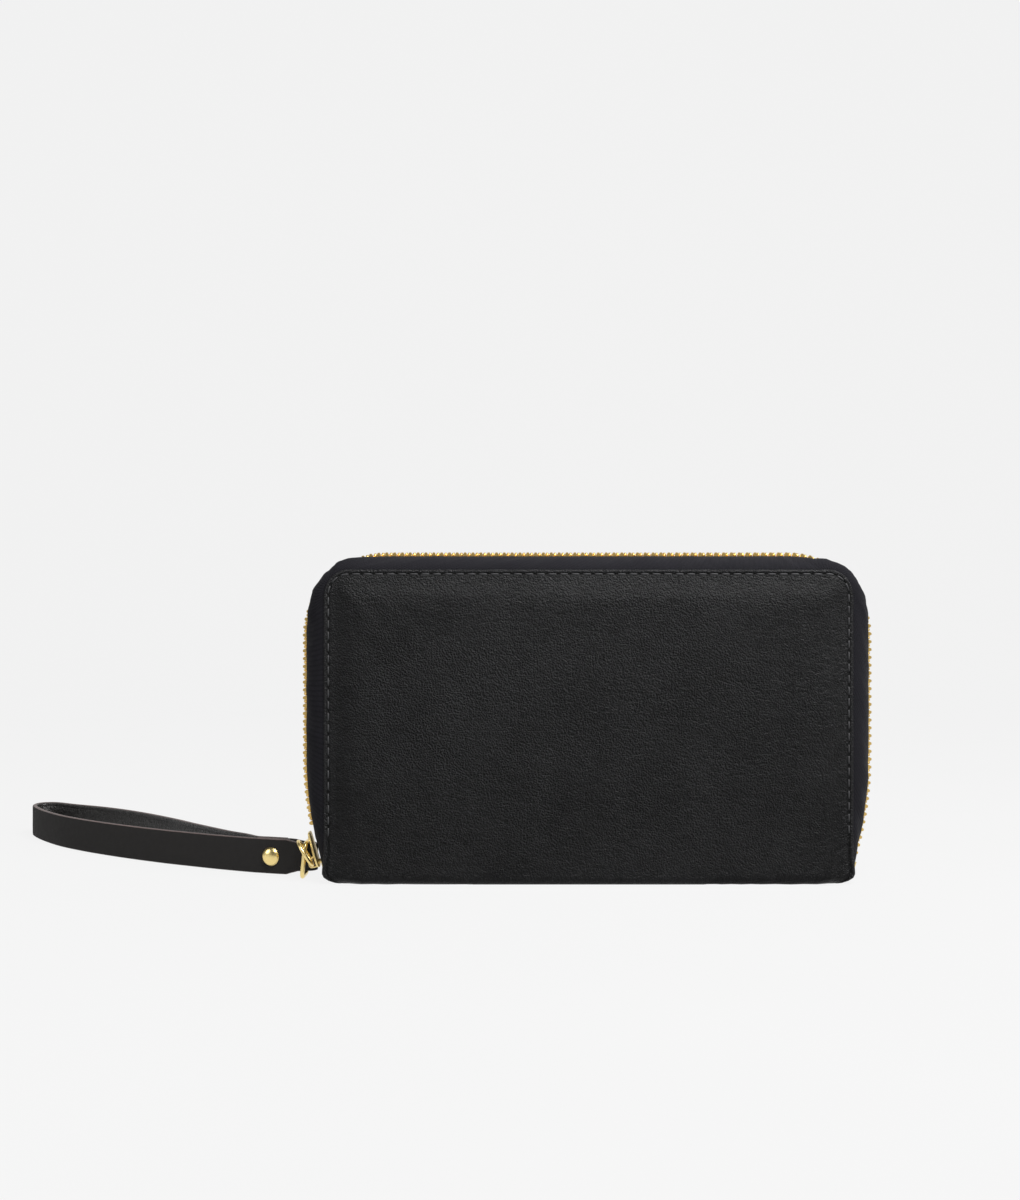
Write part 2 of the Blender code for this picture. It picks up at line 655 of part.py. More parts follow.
def build():
    clear_scene()
    finishes = {
        "leather": material("black_leather", (0.022, 0.022, 0.023), 0.5),
        "strap": material("strap_leather", (0.026, 0.025, 0.025), 0.55),
        "lining_leather": material("lining_leather", (0.03, 0.028, 0.027), 0.6),
        "lining": material("lining_cloth", (0.035, 0.032, 0.03), 0.85),
        "tape": material("zip_tape", (0.02, 0.02, 0.023), 0.8),
        "brass": material("gold_brass", (0.83, 0.6, 0.22), 0.25, 1.0),
        "foam": material("foam", (0.5, 0.5, 0.48), 0.9),
        "board": material("fibre_board", (0.3, 0.22, 0.15), 0.85),
    }
    front = pivot("front_fold", (0, -FOLD_Y, FOLD_Z))
    back = pivot("back_fold", (0, FOLD_Y, FOLD_Z))
    cover(-1, "front", finishes, front)
    cover(1, "back", finishes, back)
    slip = box((-86 * MM, -8.5 * MM, 7 * MM), (86 * MM, -8.0 * MM, 88 * MM))
    add("front_slip_pocket", slip, finishes["lining_leather"], front)
    card_slots(finishes, back)

    spine = box((-88 * MM, -10.6 * MM, 0), (88 * MM, 10.6 * MM, LEATHER))
    soften(add("spine_leather", spine, finishes["leather"]), 0.4 * MM)
    low = LEATHER + GAP
    board = box((-84 * MM, -8.5 * MM, low), (84 * MM, 8.5 * MM, low + 0.8 * MM))
    add("spine_board", board, finishes["board"])
    low += 0.8 * MM + GAP
    lining = box((-86 * MM, -8.7 * MM, low), (86 * MM, 8.7 * MM, low + 0.5 * MM))
    add("spine_lining", lining, finishes["lining"])

    coin_pocket(finishes)
    for end_name, end in (("left", -1), ("right", 1)):
        gusset("gusset_front_" + end_name, -1, end, -2.9 * MM, finishes["lining"])
        gusset("gusset_back_" + end_name, 1, end, 1.6 * MM, finishes["lining"])

    chain = Chain()
    zip_tape("front_zip_tape", -1, finishes["tape"], front)
    zip_tape("back_zip_tape", 1, finishes["tape"], back)
    first = chain.length_at_left(SLIDER_HEIGHT) + SLIDER_HALF_LENGTH + 1.6 * MM
    count = int((chain.lengths[-1] - 4 * MM - first) / PITCH)
    tooth_row("front_zip_teeth", -1, chain, first, count, finishes["brass"], front)
    tooth_row("back_zip_teeth", 1, chain, first, count, finishes["brass"], back)
    zip_stops(chain, finishes, front, back)

    bend_centre = (-CHAIN_HALF_WIDTH + BEND_RADIUS, 0, BEND_TOP)
    slide = pivot("slider_bend", bend_centre, back)
    place = slider(chain, finishes["brass"], slide)
    eye = place @ Vector((CHANNEL + PLATE + 1.52 * MM, 0, -4.46 * MM))
    ring_pivot = pivot("jump_ring_eye", eye, slide)
    jump_ring(eye, finishes["brass"], ring_pivot)
    along, _ = strap_axes()
    bar = FOLD_CENTRE + along * 0.6 * MM
    link = pivot("d_ring_link", (bar.x, bar.y - D_DEPTH + 2 * D_WIRE, 11 * MM), ring_pivot)
    d_ring(bar, finishes["brass"], link)
    hang = pivot("strap_bar", (*bar, STRAP_WIDTH / 2), link)
    strap(finishes["strap"], finishes["brass"], hang)

    run = pivot("coin_slider_run", (COIN_SLIDER_X, POCKET_Y, 93.2 * MM))
    pull = pivot("coin_pull_bail", (COIN_SLIDER_X - 0.45 * MM, POCKET_Y, COIN_PULL_Z), run)
    coin_slider(finishes, run, pull)


build()
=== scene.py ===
"""The wristlet wallet's looks: leather, zip, rings and strap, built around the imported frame."""

import json
import math

import bmesh
import bpy
import numpy as np
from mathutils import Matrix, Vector, noise


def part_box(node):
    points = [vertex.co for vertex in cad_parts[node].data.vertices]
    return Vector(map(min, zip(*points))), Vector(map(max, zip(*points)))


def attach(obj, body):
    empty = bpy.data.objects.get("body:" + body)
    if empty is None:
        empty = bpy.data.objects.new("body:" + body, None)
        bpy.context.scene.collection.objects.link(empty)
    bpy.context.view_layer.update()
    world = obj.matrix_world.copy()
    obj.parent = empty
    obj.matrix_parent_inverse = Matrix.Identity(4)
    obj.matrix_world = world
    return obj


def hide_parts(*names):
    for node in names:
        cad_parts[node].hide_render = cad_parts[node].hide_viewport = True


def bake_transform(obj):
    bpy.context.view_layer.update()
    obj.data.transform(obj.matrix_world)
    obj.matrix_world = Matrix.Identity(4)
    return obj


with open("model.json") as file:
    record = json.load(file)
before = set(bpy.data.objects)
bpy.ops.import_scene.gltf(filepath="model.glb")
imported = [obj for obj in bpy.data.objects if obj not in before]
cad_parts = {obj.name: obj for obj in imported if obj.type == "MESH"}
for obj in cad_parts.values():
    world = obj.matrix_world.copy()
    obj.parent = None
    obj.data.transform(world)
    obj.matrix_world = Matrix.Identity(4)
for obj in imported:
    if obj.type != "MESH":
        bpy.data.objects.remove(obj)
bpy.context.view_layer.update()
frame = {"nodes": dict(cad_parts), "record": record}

MM = 0.001
PER_METRE = 1000.0

# ------------------------------------------------------------------ shader tools


class Val:
    """A socket that can be used in sums. An expression adds its Math nodes."""

    def __init__(self, paint, socket):
        self.paint = paint
        self.socket = socket

    def _math(self, operation, a, b=0.0):
        return self.paint.node("Math", {"operation": operation}, {0: a, 1: b})

    def __add__(self, other):
        return self._math("ADD", self, other)

    def __radd__(self, other):
        return self._math("ADD", other, self)

    def __sub__(self, other):
        return self._math("SUBTRACT", self, other)

    def __rsub__(self, other):
        return self._math("SUBTRACT", other, self)

    def __mul__(self, other):
        return self._math("MULTIPLY", self, other)

    def __rmul__(self, other):
        return self._math("MULTIPLY", other, self)

    def __truediv__(self, other):
        return self._math("DIVIDE", self, other)

    def abs(self):
        return self._math("ABSOLUTE", self)

    def sin(self):
        return self._math("SINE", self)

    def least(self, other):
        return self._math("MINIMUM", self, other)

    def most(self, other):
        return self._math("MAXIMUM", self, other)

    def between(self, low, high, to_low=0.0, to_high=1.0):
        """This value eased from one range to another, and held at the ends."""
        settings = {"interpolation_type": "SMOOTHSTEP"}
        values = {0: self, 1: low, 2: high, 3: to_low, 4: to_high}
        return self.paint.node("MapRange", settings, values)


class Paint:
    """A material whose nodes are added one at a time."""

    def __init__(self, name):
        self.material = bpy.data.materials.new(name)
        self.material.use_nodes = True
        self.tree = self.material.node_tree
        self.shader = self.tree.nodes["Principled BSDF"]

    def node(self, kind, settings=None, values=None, output=0):
        """Adds a node, sets it up, fills its sockets, and gives back one output."""
        made = self.tree.nodes.new("ShaderNode" + kind)
        for key, value in (settings or {}).items():
            if key == "stops":
                self._stops(made.color_ramp, value)
            else:
                setattr(made, key, value)
        for key, value in (values or {}).items():
            self._fill(made.inputs[key], value)
        return Val(self, made.outputs[output])

    def _stops(self, ramp, stops):
        while len(ramp.elements) < len(stops):
            ramp.elements.new(0.5)
        for element, (place, colour) in zip(ramp.elements, stops):
            element.position = place
            element.color = (*colour, 1.0)

    def _fill(self, socket, value):
        if isinstance(value, Val):
            self.tree.links.new(value.socket, socket)
        elif isinstance(value, tuple) and len(value) == 3 and socket.type == "RGBA":
            socket.default_value = (*value, 1.0)
        else:
            socket.default_value = value

    def set(self, **values):
        """Sets the main shader's sockets by name, with _ for a space."""
        for key, value in values.items():
            self._fill(self.shader.inputs[key.replace("_", " ")], value)
        return self

    def place(self):
        """Object coordinates in millimetres."""
        where = self.node("TexCoord", output="Object")
        return self.node("VectorMath", {"operation": "SCALE"}, {0: where, "Scale": PER_METRE})

    def stretched(self, where, x, y, z):
        return self.node("VectorMath", {"operation": "MULTIPLY"}, {0: where, 1: (x, y, z)})

    def noise(self, where, scale, detail=3.0, roughness=0.5, output="Fac"):
        values = {"Vector": where, "Scale": scale, "Detail": detail, "Roughness": roughness}
        return self.node("TexNoise", values=values, output=output)

    def cells(self, where, scale, feature="F1", randomness=1.0):
        settings = {"feature": feature}
        values = {"Vector": where, "Scale": scale, "Randomness": randomness}
        return self.node("TexVoronoi", settings, values, output="Distance")

    def mix(self, share, one, two):
        settings = {"data_type": "RGBA"}
        return self.node("Mix", settings, {0: share, 6: one, 7: two}, output=2)

    def attribute(self, name, output="Fac"):
        return self.node("Attribute", {"attribute_name": name}, output=output)

    def bump(self, height, distance, strength=1.0):
        """Bumps the surface by a height of 0 to 1 times a distance in millimetres."""
        values = {"Height": height, "Distance": distance * MM, "Strength": strength}
        return self.set(Normal=self.node("Bump", values=values))


# ------------------------------------------------------------------ finishes


def grained_leather(name, dark, light, depth, shine, pebble, glint=0.15):
    """Full-grain leather: small pebbles between fine creases, with a soft uneven shine."""
    paint = Paint(name)
    where = paint.place()
    drift = paint.noise(where, 0.35, 4, output="Color")
    settings = {"operation": "MULTIPLY_ADD"}
    bent = paint.node("VectorMath", settings, {0: drift, 1: (1.1, 1.1, 1.1), 2: where})
    pebbles = paint.cells(bent, pebble)
    fine = paint.noise(bent, pebble * 1.35, 3, 0.7)
    folds = paint.noise(paint.stretched(bent, 0.5, 1.0, 1.0), pebble * 0.42, 4, 0.6)
    height = (1 - pebbles) * 0.5 + fine * 0.6 + folds * 0.5
    cloud = paint.noise(where, 0.045, 4, 0.55)
    # The mesh's painted light attribute: above zero it paints a highlight into the colour, below
    # zero it paints shade; it also lowers the roughness.
    wear = paint.attribute("wear")
    speck = fine.between(0.42, 0.74)
    tone = (cloud - 0.42) * 0.5 + speck * 0.62 + (folds - 0.45) * 0.5 + wear * 0.45
    paint.set(Base_Color=paint.mix(tone.least(1.0).most(0.0), dark, light))
    rough = shine + (cloud - 0.5) * 0.18 - speck * 0.1 - wear * 0.08
    paint.set(Roughness=rough, Specular_IOR_Level=glint)
    paint.bump(height, depth)
    return paint.material


def edge_dressing():
    """The strap's cut edge, stained a dark red-brown and burnished."""
    paint = Paint("burnished_edge")
    where = paint.place()
    layers = paint.noise(paint.stretched(where, 0.25, 0.25, 3.0), 1.6, 4)
    spots = paint.noise(where, 1.1, 3)
    tone = layers * 0.6 + spots * 0.4
    stops = [(0.3, (0.02, 0.013, 0.012)), (0.55, (0.055, 0.03, 0.026)), (0.8, (0.1, 0.06, 0.05))]
    paint.set(Base_Color=paint.node("ValToRGB", {"stops": stops}, {0: tone}))
    paint.set(Roughness=0.34 + spots * 0.22, Specular_IOR_Level=0.5)
    paint.bump(layers + spots * 0.5, 0.05)
    return paint.material


def flesh_side():
    """The inside of the strap: sueded leather with short fibres."""
    paint = Paint("sueded_leather")
    where = paint.place()
    fibres = paint.noise(where, 4.5, 5, 0.7)
    nap = paint.noise(where, 0.5, 3)
    paint.set(Base_Color=paint.mix(fibres, (0.007, 0.007, 0.007), (0.022, 0.02, 0.019)))
    paint.set(Roughness=0.8 + nap * 0.15, Specular_IOR_Level=0.2)
    paint.bump(fibres + nap * 0.4, 0.09)
    return paint.material


def woven(name, dark, light, across, along, depth, diagonal=0.0):
    """A fine woven band. The UV map is in millimetres: u along the band, v across it."""
    paint = Paint(name)
    uv = paint.node("UVMap", {"uv_map": "weave"})
    axes = paint.node("SeparateXYZ", values={0: uv}).socket.node.outputs
    u, v = Val(paint, axes["X"]), Val(paint, axes["Y"])
    fray = paint.noise(uv, 1.4, 3)
    warp = ((v * across + fray * 0.5) * math.tau).sin()
    weft = ((u * along + v * diagonal + fray * 0.7) * math.tau).sin()
    crossing = (warp * weft) * 0.5 + 0.5
    yarn = warp.abs().most(weft.abs()) * 0.5 + crossing * 0.5
    stains = paint.noise(uv, 0.12, 3)
    tone = yarn * 0.6 + stains * 0.25 + fray * 0.15
    paint.set(Base_Color=paint.mix(tone, dark, light))
    paint.set(Roughness=0.72 + stains * 0.2, Specular_IOR_Level=0.09)
    paint.set(Sheen_Weight=0.02, Sheen_Roughness=0.4)
    paint.bump(yarn + fray * 0.4, depth)
    return paint.material


def cloth(name, dark, light, pitch, depth):
    """A plain weave that needs no map: crossed threads from the object's own coordinates."""
    paint = Paint(name)
    where = paint.place()
    split = paint.node("SeparateXYZ", values={0: where})
    axes = split.socket.node.outputs
    fray = paint.noise(where, 1.3, 3)
    run = (Val(paint, axes["X"]) + Val(paint, axes["Y"]) + fray * 0.4) * (math.tau / pitch)
    rise = (Val(paint, axes["Z"]) + Val(paint, axes["Y"]) * 0.5 + fray * 0.4) * (math.tau / pitch)
    threads = run.sin() * rise.sin() * 0.5 + 0.5
    stains = paint.noise(where, 0.06, 3)
    paint.set(Base_Color=paint.mix(threads * 0.6 + stains * 0.4, dark, light))
    paint.set(Roughness=0.78 + stains * 0.15, Specular_IOR_Level=0.3)
    paint.set(Sheen_Weight=0.15)
    paint.bump(threads + fray * 0.5, depth)
    return paint.material


def gold_plate(name, tint, shine):
    """Gold-plated brass with a soft polish, faint scratches and darker hollows."""
    paint = Paint(name)
    where = paint.place()
    haze = paint.noise(where, 0.35, 3)
    rubs = paint.noise(paint.stretched(where, 2.0, 2.0, 0.35), 3.2, 4, 0.6)
    deep = tuple(c * 0.72 for c in tint)
    paint.set(Base_Color=paint.mix(haze * 0.6 + rubs * 0.25, tint, deep))
    paint.set(Metallic=1.0, Roughness=shine + haze * 0.1 + rubs * 0.08)
    paint.bump(rubs + haze * 0.6, 0.012)
    return paint.material


def sewing_thread():
    """Waxed black polyester thread, twisted."""
    paint = Paint("waxed_thread")
    where = paint.place()
    twist = paint.noise(where, 3.4, 3, 0.6)
    paint.set(Base_Color=paint.mix(twist, (0.008, 0.008, 0.009), (0.035, 0.035, 0.037)))
    paint.set(Roughness=0.5 + twist * 0.2, Specular_IOR_Level=0.4)
    paint.bump(twist, 0.05)
    return paint.material


def painted_hole_shade():
    """The inside of a stitch hole, painted near-black as painted shade."""
    paint = Paint("painted_hole_shade")
    where = paint.place()
    # Painted shade, a little uneven.
    shade_mottle = paint.noise(where, 2.0, 2)
    paint.set(Base_Color=paint.mix(shade_mottle, (0.0008, 0.0008, 0.0008), (0.002, 0.002, 0.002)))
    paint.set(Roughness=0.9 + shade_mottle * 0.08, Specular_IOR_Level=0.05)
    paint.bump(shade_mottle, 0.05)
    return paint.material


def soft_foam():
    """Open-cell padding."""
    paint = Paint("padding_foam")
    where = paint.place()
    holes = paint.cells(where, 2.2)
    paint.set(Base_Color=paint.mix(holes, (0.16, 0.16, 0.15), (0.42, 0.41, 0.38)))
    paint.set(Roughness=0.95 - holes * 0.1)
    paint.bump(holes, 0.2)
    return paint.material


def pressed_board():
    """Grey-brown fibre board with flecks."""
    paint = Paint("fibre_board")
    where = paint.place()
    flecks = paint.noise(where, 1.8, 5, 0.7)
    paint.set(Base_Color=paint.mix(flecks, (0.12, 0.085, 0.055), (0.3, 0.23, 0.16)))
    paint.set(Roughness=0.82 + flecks * 0.12)
    paint.bump(flecks, 0.06)
    return paint.material


PAPER_GLOW = 0.868


def studio_paper():
    """The pale paper that the wallet stands on, bright enough to lose its horizon."""
    paint = Paint("studio_paper")
    where = paint.place()
    mottle = paint.noise(where, 0.01, 2)
    paint.set(Base_Color=paint.mix(mottle, (0.019, 0.019, 0.019), (0.023, 0.023, 0.023)))
    paint.set(Roughness=0.9, Specular_IOR_Level=0.0, Emission_Strength=PAPER_GLOW)
    paint.set(Emission_Color=(1.0, 1.0, 1.0))
    return paint.material


FINISH = {
    "panel": grained_leather(
        "black_grain_leather", (0.001, 0.001, 0.0011), (0.017, 0.017, 0.0178), 0.5, 0.36, 1.5, 0.12
    ),
    "strap": grained_leather(
        "strap_leather", (0.004, 0.0038, 0.0036), (0.05, 0.048, 0.046), 0.5, 0.36, 1.3, 0.3
    ),
    "edge": edge_dressing(),
    "flesh": flesh_side(),
    "pocket": grained_leather(
        "pocket_leather", (0.013, 0.012, 0.012), (0.026, 0.025, 0.025), 0.05, 0.55, 2.2
    ),
    "tape": woven(
        "zip_tape_weave", (0.0015, 0.0015, 0.002), (0.011, 0.0105, 0.0135), 1.0, 0.62, 0.2, 0.5
    ),
    "lining": cloth("lining_cloth", (0.012, 0.012, 0.013), (0.032, 0.031, 0.032), 0.7, 0.06),
    "thread": sewing_thread(),
    "gold": gold_plate("gold_plate", (1.0, 0.79, 0.34), 0.2),
    "bright": gold_plate("bright_gold", (1.0, 0.8, 0.36), 0.34),
    "teeth": gold_plate("gold_teeth", (0.86, 0.6, 0.2), 0.26),
    "hole": painted_hole_shade(),
    "foam": soft_foam(),
    "board": pressed_board(),
}

# ------------------------------------------------------------------ mesh tools


SHARP_FROM = 50


def piece(
    name, verts, faces, finish, body=None, slot=None, replaced=(), uvs=None, kinds=None, wear=None
):
    """Makes a mesh piece from points in millimetres and rides it on a body."""
    mesh = bpy.data.meshes.new(name)
    mesh.from_pydata([tuple(c * MM for c in v) for v in verts], [], faces)
    finishes = finish if isinstance(finish, (list, tuple)) else [finish]
    for each in finishes:
        mesh.materials.append(FINISH[each])
    if kinds is not None:
        mesh.polygons.foreach_set("material_index", kinds)
    if uvs is not None:
        layer = mesh.uv_layers.new(name="weave")
        corners = np.zeros(len(mesh.loops), np.int32)
        mesh.loops.foreach_get("vertex_index", corners)
        layer.data.foreach_set("uv", np.asarray(uvs, np.float32)[corners].ravel())
    # Painted highlight and painted shade per point, kept as a mesh attribute that the leather's
    # colour reads.
    painted_levels = wear if wear is not None else [0.0] * len(verts)
    spread = mesh.attributes.new("wear", "FLOAT", "POINT")
    spread.data.foreach_set("value", np.asarray(painted_levels, np.float32))
    mesh.update()
    mesh.shade_smooth()
    made = bpy.data.objects.new(name, mesh)
    bpy.context.scene.collection.objects.link(made)
    tidy = bmesh.new()
    tidy.from_mesh(mesh)
    bmesh.ops.recalc_face_normals(tidy, faces=tidy.faces)
    tidy.to_mesh(mesh)
    tidy.free()
    mesh.set_sharp_from_angle(angle=math.radians(SHARP_FROM))
    if body:
        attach(made, body)
    if replaced:
        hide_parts(*replaced)
    return made


def tube(stations, closed=False, caps=True):
    """Verts and faces of equal loops joined in a row."""
    verts, faces = [], []
    size = len(stations[0])
    for station in stations:
        verts += [tuple(p) for p in station]
    last = len(stations) if closed else len(stations) - 1
    for i in range(last):
        a, b = i * size, ((i + 1) % len(stations)) * size
        for k in range(size):
            m = (k + 1) % size
            faces.append((a + k, a + m, b + m, b + k))
    if caps and not closed:
        faces.append(tuple(range(size)))
        faces.append(tuple(range(len(verts) - size, len(verts)))[::-1])
    return verts, faces


def gather(parts):
    """Several (verts, faces) as one."""
    verts, faces = [], []
    for some, more in parts:
        start = len(verts)
        verts += some
        faces += [tuple(start + i for i in face) for face in more]
    return verts, faces


def ease(share):
    """0 to 1 with a soft start and end."""
    share = min(max(share, 0.0), 1.0)
    return share * share * (3 - 2 * share)


def arc(centre, radius, start, end, steps):
    """Points on an arc between two angles in degrees."""
    turns = [math.radians(start + (end - start) * i / steps) for i in range(steps + 1)]
    return [centre + radius * Vector((math.cos(a), math.sin(a))) for a in turns]


def wire(points, radius, sides=16, closed=True):
    """A round wire along a path, with its section kept square to the path."""
    stations = []
    count = len(points)
    across = None
    for i, point in enumerate(points):
        ahead = points[(i + 1) % count] if closed else points[min(i + 1, count - 1)]
        behind = points[i - 1] if closed or i else points[0]
        along = (ahead - behind).normalized()
        across = along.orthogonal() if across is None else across - along * across.dot(along)
        across = across.normalized()
        up = along.cross(across)
        turns = [math.tau * k / sides for k in range(sides)]
        ring = [point + radius * (math.cos(a) * across + math.sin(a) * up) for a in turns]
        stations.append(ring)
    return tube(stations, closed)


# ------------------------------------------------------------------ the wallet's lines
# Sizes are in millimetres, but in metres for the camera, the lights and the paper.

WIDE = 91.75
TALL = 109.0
DEEP = 13.0
CORNER = 8.5
CHAIN_WIDE = 98.9
CHAIN_TALL = 113.9
CHAIN_CORNER = 28.0
CHAIN_FOOT = 4.0
BEND = 120.0
BEND_TOP = 43.0


def chain_side(height):
    """The chain's half-width at a height, and how far it leans in there."""
    slope = math.asin(max(BEND_TOP - height, 0) / BEND)
    return CHAIN_WIDE - BEND * (1 - math.cos(slope)), slope


def paired_lines(inset, side_steps, corner_steps, top_steps):
    """The covers' edge and the chain line walked together: (edge, chain, outward) in (x, z)."""
    right = []
    for i in range(side_steps + 1):
        share = i / side_steps
        low = CHAIN_FOOT + (TALL - CORNER - CHAIN_FOOT) * share
        height = CHAIN_FOOT + (CHAIN_TALL - CHAIN_CORNER - CHAIN_FOOT) * share
        x, slope = chain_side(height)
        edge = Vector((WIDE - inset, low))
        right.append((edge, Vector((x, height)), Vector((math.cos(slope), -math.sin(slope)))))
    hub = Vector((WIDE - CORNER, TALL - CORNER))
    chain_hub = Vector((CHAIN_WIDE - CHAIN_CORNER, CHAIN_TALL - CHAIN_CORNER))
    radius = max(CORNER - inset, 0.5)
    for i in range(1, corner_steps + 1):
        turn = math.radians(90 * i / corner_steps)
        out = Vector((math.cos(turn), math.sin(turn)))
        right.append((hub + radius * out, chain_hub + CHAIN_CORNER * out, out))
    edge_end, chain_end = right[-1][0], right[-1][1]
    for i in range(1, top_steps):
        share = i / top_steps
        edge = Vector((edge_end.x * (1 - share), edge_end.y))
        right.append((edge, Vector((chain_end.x * (1 - share), chain_end.y)), Vector((0, 1))))
    middle = [(Vector((0, edge_end.y)), Vector((0, chain_end.y)), Vector((0, 1)))]
    flip = [tuple(Vector((-p.x, p.y)) for p in row) for row in right]
    return flip + middle + right[::-1]


class Line:
    """A polyline walked by length."""

    def __init__(self, points):
        self.points = points
        self.runs = [0.0]
        for one, two in zip(points, points[1:]):
            self.runs.append(self.runs[-1] + (two - one).length)
        self.length = self.runs[-1]

    def at(self, run):
        """The point at a length and the direction there."""
        i = int(np.searchsorted(self.runs, run, side="right")) - 1
        i = min(max(i, 0), len(self.points) - 2)
        one, two = self.points[i], self.points[i + 1]
        along = (two - one).normalized()
        return one + along * (run - self.runs[i]), along


# ------------------------------------------------------------------ leather covers

ROLL = 0.65
SEAM = 1.65
STITCH_PITCH = 4.0
SPINE_BEND = 3.0
GROOVE = 0.3
PADDING_RISE = 2.0
CROWN_RISE = 0.35
TUCKED_UNDER = -1.15
STITCHES_FROM = 16
# One stitch: how far along, how thick, and how high it stands above the groove.
STITCH = (
    (-1.5, 0.1, -0.34), (-1.3, 0.24, -0.1), (-0.6, 0.29, 0.02),
    (0.6, 0.29, 0.02), (1.3, 0.24, -0.1), (1.5, 0.1, -0.34),
)
# One needle hole, a small mound coloured as painted shade: the radius and height of each ring.
NEEDLE_HOLE = ((0.62, -0.12), (0.6, 0.05), (0.3, -0.02))


def rim_line(inset, steps=14):
    """The cover's edge from foot to foot over the top, in (x, height up the leather)."""
    rows, top = 88, 150
    radius = max(CORNER - inset, 0.8)
    hub = Vector((WIDE - inset - radius, TALL - inset - radius))
    right = [Vector((WIDE - inset, hub.y * i / rows)) for i in range(rows)]
    right += arc(hub, radius, 0, 90, steps)
    left = [Vector((-point.x, point.y)) for point in right]
    middle = [Vector((hub.x * (2 * i / top - 1), TALL - inset)) for i in range(1, top)]
    return left + middle + right[::-1]


def crown(inset, x, z):
    """How far the leather stands out of the panel's face, from the edge inwards."""
    if inset < ROLL:
        return -ROLL + math.sqrt(max(ROLL * ROLL - (ROLL - inset) ** 2, 0.0))
    groove = GROOVE * math.exp(-(((inset - SEAM) / 0.42) ** 2))
    lift = PADDING_RISE * ease((inset - 2.0) / 9.0) + CROWN_RISE * ease((inset - 9) / 34)
    drift = 0.22 * noise.noise(Vector((x * 0.022, z * 0.026, 3.1)))
    drift += 0.09 * noise.noise(Vector((x * 0.075, z * 0.07, 7.7)))
    near = math.exp(-(((x + 71) / 14) ** 2) - ((z - 88) / 18) ** 2)
    crease = math.sin((x * 0.8 + z * 0.6) * 0.75) * 0.1 * near
    pull = math.sin(z * 1.05 + x * 0.5) * 0.035 * math.exp(-((inset - 5) / 3.5) ** 2)
    return lift - groove + (drift + crease) * ease((inset - 3) / 8) + pull


def foot_width(z):
    """The half-width drawn in at the foot, where the leather turns under on to the spine."""
    drawn = max(0.0, 1 - max(z, 0.0) / 4.0)
    return 1.007 - 0.007 * ease((z - 3) / 9) - 0.06 * drawn**2.6


def lay_on_cover(x, height, out, side):
    """A point of the wrap, flat under the spine, then up the cover. Side -1 is the front."""
    bend = SPINE_BEND
    base = DEEP - bend
    quarter = bend * math.pi / 2
    run = height + base + quarter - bend
    if run < base:
        y, z, turn = run, 0.0, math.pi / 2
    elif run < base + quarter:
        turn = (run - base) / bend
        y = base + bend * math.sin(turn)
        z = bend * (1 - math.cos(turn))
        turn = math.pi / 2 - turn
    else:
        y, z, turn = DEEP, bend + run - base - quarter, 0.0
    y -= 0.95 * (1 - turn / (math.pi / 2))
    y += out * math.cos(turn)
    z -= out * math.sin(turn) * 0.25
    wide = foot_width(z) if z < 12 else 1.0
    return x * wide, side * y, max(z, 0.02)


SKIN_INSETS = [0.0, 0.1, 0.3, 0.65, 0.95, 1.25, 1.45, 1.65, 1.85, 2.1]
SKIN_INSETS += [2.6, 3.4, 4.6, 6.2, 8.2, 10.5, 14, 18, 23, 29, 36, 43, 50]


def cover_skin(name, side, nodes):
    """One cover's leather and its half of the spine, with a turned edge and padded middle."""
    loops, verts, wear = [], [], []
    under = -(DEEP - 2 * SPINE_BEND + SPINE_BEND / 2 * math.pi)
    for depth in [-1] + SKIN_INSETS:
        inset = max(depth, 0.0)
        loop = []
        for x, up in rim_line(inset):
            share = up / (TALL - inset)
            run = under + (TALL - inset - under) * share
            out = crown(inset, x, up) if depth >= 0 else TUCKED_UNDER
            loop.append(len(verts))
            verts.append(lay_on_cover(x, run, out, side))
            # Painted highlight on the rolled edge and a fainter one just inside the stitch line;
            # painted shade in the stitch groove.
            rim = 0.9 * math.exp(-(((inset - 0.5) / 0.4) ** 2))
            rim += 0.3 * math.exp(-(((inset - 2.9) / 0.6) ** 2))
            wear.append(rim - 1.3 * math.exp(-(((inset - SEAM) / 0.35) ** 2)))
        loops.append(loop)
    faces = []
    for one, two in zip(loops, loops[1:]):
        for k in range(len(one) - 1):
            faces.append((one[k], one[k + 1], two[k + 1], two[k]))
    inner = loops[-1]
    for k in range(len(inner) // 2 - 1):
        m = len(inner) - 1 - k
        if m - 1 > k + 1:
            faces.append((inner[k], inner[k + 1], inner[m - 1], inner[m]))
    made = piece(name, verts, faces, "panel", None, "black_leather", nodes, wear=wear)
    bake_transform(made)


